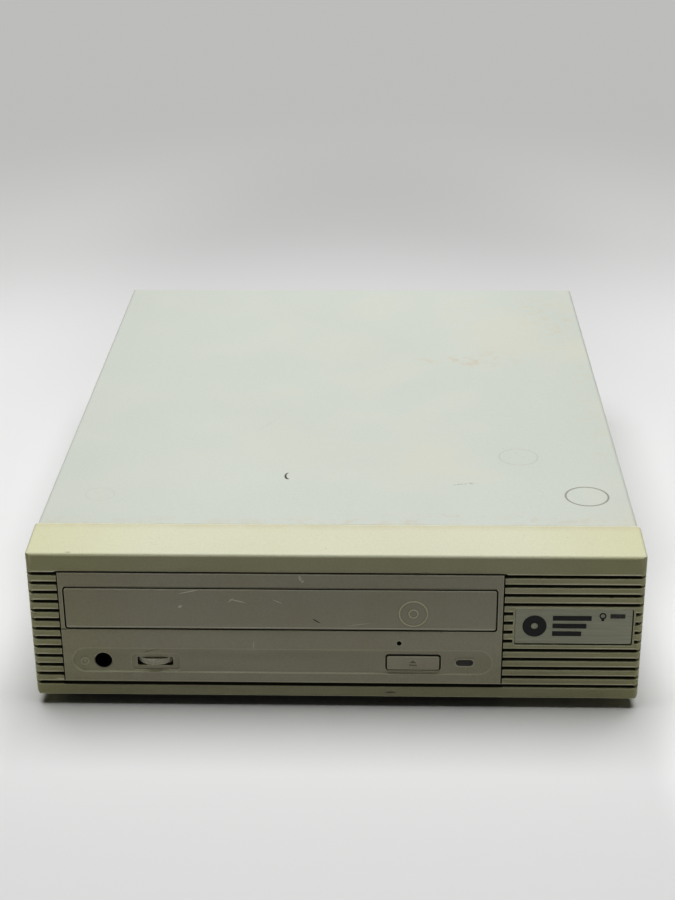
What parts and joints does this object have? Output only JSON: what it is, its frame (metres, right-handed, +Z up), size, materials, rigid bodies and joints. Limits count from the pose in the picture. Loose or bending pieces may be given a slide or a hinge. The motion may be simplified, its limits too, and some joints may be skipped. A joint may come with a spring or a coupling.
{
  "type": "external optical drive",
  "caption": "Desktop case for a front-loading disc drive: ribbed bezel with a status badge, plain steel cover, sliding disc tray, volume wheel, headphone socket and rear ports.",
  "frame": {"origin": "centre of the bounding box in plan, on the surface the feet stand on", "axes": "+Z up, -Y towards the front with the tray, +X to the right seen from the front"},
  "size_m": [0.205, 0.2708, 0.0597],
  "materials": {
    "beige_abs": "fine moulded grain, yellowed",
    "painted_steel": "satin textured paint",
    "zinc_steel": "zinc plated sheet",
    "rubber": "moulded",
    "badge_metal": "brushed and lacquered",
    "smoked_plastic": "smoked translucent",
    "led_body": "tinted epoxy",
    "black_plastic": "moulded",
    "dark_plastic": "moulded",
    "white_plastic": "acetal",
    "board_green": "solder mask",
    "board_brown": "phenolic board",
    "bare_steel": "ground",
    "cable_grey": "ribbed vinyl",
    "wire_red": "vinyl",
    "winding": "taped winding",
    "capacitor_blue": "shrink sleeve",
    "aluminium": "extruded",
    "brass": "plated"
  },
  "bodies": {
    "case": {"front_bezel": "beige_abs", "top_cover": "painted_steel", "base_chassis": "zinc_steel", "rubber_feet": "rubber", "case_screws": "zinc_steel", "badge_plate": "badge_metal", "power_led_window": "smoked_plastic", "power_led": "led_body", "led_lead": "black_plastic", "drive_fascia": "beige_abs", "front_controls": "dark_plastic", "headphone_jack": "black_plastic", "busy_led_window": "smoked_plastic", "busy_led": "led_body", "front_board": "board_green", "drive_top_shell": "zinc_steel", "drive_bottom_shell": "zinc_steel", "drive_frame": "dark_plastic", "drive_board": "board_green", "drive_chips": "black_plastic", "drive_sockets": "black_plastic", "drive_screws": "zinc_steel", "loading_motor": "bare_steel", "loading_belt": "rubber", "frame_dampers": "rubber", "clamp_bridge": "zinc_steel", "scsi_ribbon": "cable_grey", "scsi_ports": "zinc_steel", "power_lead": "wire_red", "psu_board": "board_brown", "psu_transformer": "winding", "psu_capacitors": "capacitor_blue", "psu_heatsinks": "aluminium", "power_inlet": "black_plastic", "power_switch": "black_plastic", "fan_frame": "black_plastic", "id_switch": "dark_plastic", "audio_jacks": "brass"},
    "tray": {"disc_tray": "dark_plastic", "tray_front": "beige_abs"},
    "eject_button": {"eject_button": "beige_abs"},
    "volume_wheel": {"volume_wheel": "beige_abs"},
    "loading_gear": {"loading_gear": "white_plastic"},
    "motor_pulley": {"motor_pulley": "dark_plastic"},
    "laser_frame": {"laser_frame": "dark_plastic", "frame_motors": "bare_steel", "sled_rods": "bare_steel"},
    "turntable": {"turntable": "dark_plastic"},
    "laser_sled": {"laser_sled": "dark_plastic"},
    "lead_screw": {"lead_screw": "bare_steel"},
    "clamp_puck": {"clamp_puck": "white_plastic"},
    "power_rocker": {"power_rocker": "dark_plastic"},
    "fan_rotor": {"fan_rotor": "dark_plastic"},
    "id_wheel": {"id_wheel": "white_plastic"},
    "id_plus": {"id_plus": "white_plastic"},
    "id_minus": {"id_minus": "white_plastic"},
    "bail_1": {"bail_1": "bare_steel"},
    "bail_2": {"bail_2": "bare_steel"},
    "bail_3": {"bail_3": "bare_steel"},
    "bail_4": {"bail_4": "bare_steel"}
  },
  "joints": [
    {"name": "tray_slide", "type": "slide", "parent": "case", "child": "tray", "axis": [0, -1, 0], "range_m": [0, 0.135]},
    {"name": "eject_press", "type": "slide", "parent": "case", "child": "eject_button", "axis": [0, 1, 0], "range_m": [0, 0.0012], "stiffness_N_per_m": 300, "springref_m": -0.001},
    {"name": "volume_turn", "type": "hinge", "parent": "case", "child": "volume_wheel", "pos_m": [-0.0611, -0.12834, 0.017], "axis": [0, 0, 1], "range_deg": [-135, 135]},
    {"name": "gear_turn", "type": "hinge", "parent": "case", "child": "loading_gear", "pos_m": [-0.06315, -0.10464, 0.0305], "axis": [0, 0, 1], "range_deg": [0, 775]},
    {"name": "pulley_turn", "type": "hinge", "parent": "case", "child": "motor_pulley", "pos_m": [-0.03015, -0.10464, 0.0275], "axis": [0, 0, 1], "range_deg": [0, 2710]},
    {"name": "frame_lift", "type": "hinge", "parent": "case", "child": "laser_frame", "pos_m": [-0.01815, 0.03536, 0.0255], "axis": [-1, 0, 0], "range_deg": [0, 3.9]},
    {"name": "disc_spin", "type": "hinge", "parent": "laser_frame", "child": "turntable", "pos_m": [-0.01815, -0.05996, 0.02702], "axis": [0, -0.068, 0.9977], "continuous": true},
    {"name": "sled_travel", "type": "slide", "parent": "laser_frame", "child": "laser_sled", "axis": [0, 0.9977, 0.068], "range_m": [0, 0.033]},
    {"name": "screw_turn", "type": "hinge", "parent": "laser_frame", "child": "lead_screw", "pos_m": [0.02185, -0.03465, 0.02323], "axis": [0, 0.9977, 0.068], "range_deg": [0, 3961]},
    {"name": "puck_spin", "type": "hinge", "parent": "case", "child": "clamp_puck", "pos_m": [-0.01815, -0.05964, 0.0435], "axis": [0, 0, 1], "continuous": true},
    {"name": "fan_spin", "type": "hinge", "parent": "case", "child": "fan_rotor", "pos_m": [0.038, 0.11736, 0.0285], "axis": [0, 1, 0], "continuous": true},
    {"name": "rocker_tilt", "type": "hinge", "parent": "case", "child": "power_rocker", "pos_m": [0.08, 0.11936, 0.0425], "axis": [0, 0, 1], "range_deg": [0, 20]},
    {"name": "id_turn", "type": "hinge", "parent": "case", "child": "id_wheel", "pos_m": [0.011, 0.12056, 0.0425], "axis": [1, 0, 0], "continuous": true},
    {"name": "id_plus_press", "type": "slide", "parent": "case", "child": "id_plus", "axis": [0, -1, 0], "range_m": [0, 0.0008], "stiffness_N_per_m": 300, "springref_m": -0.001},
    {"name": "id_minus_press", "type": "slide", "parent": "case", "child": "id_minus", "axis": [0, -1, 0], "range_m": [0, 0.0008], "stiffness_N_per_m": 300, "springref_m": -0.001},
    {"name": "bail_1_swing", "type": "hinge", "parent": "case", "child": "bail_1", "pos_m": [-0.0905, 0.12736, 0.0165], "axis": [0, 0, 1], "range_deg": [-45, 60]},
    {"name": "bail_2_swing", "type": "hinge", "parent": "case", "child": "bail_2", "pos_m": [-0.0015, 0.12736, 0.0165], "axis": [0, 0, 1], "range_deg": [-60, 45]},
    {"name": "bail_3_swing", "type": "hinge", "parent": "case", "child": "bail_3", "pos_m": [-0.0905, 0.12736, 0.0385], "axis": [0, 0, 1], "range_deg": [-45, 60]},
    {"name": "bail_4_swing", "type": "hinge", "parent": "case", "child": "bail_4", "pos_m": [-0.0015, 0.12736, 0.0385], "axis": [0, 0, 1], "range_deg": [-60, 45]}
  ],
  "couplings": [
    {"joint": "gear_turn", "follows": "tray_slide", "rad_per_m": 100},
    {"joint": "pulley_turn", "follows": "tray_slide", "rad_per_m": 350},
    {"joint": "screw_turn", "follows": "sled_travel", "rad_per_m": 2094.4}
  ]
}
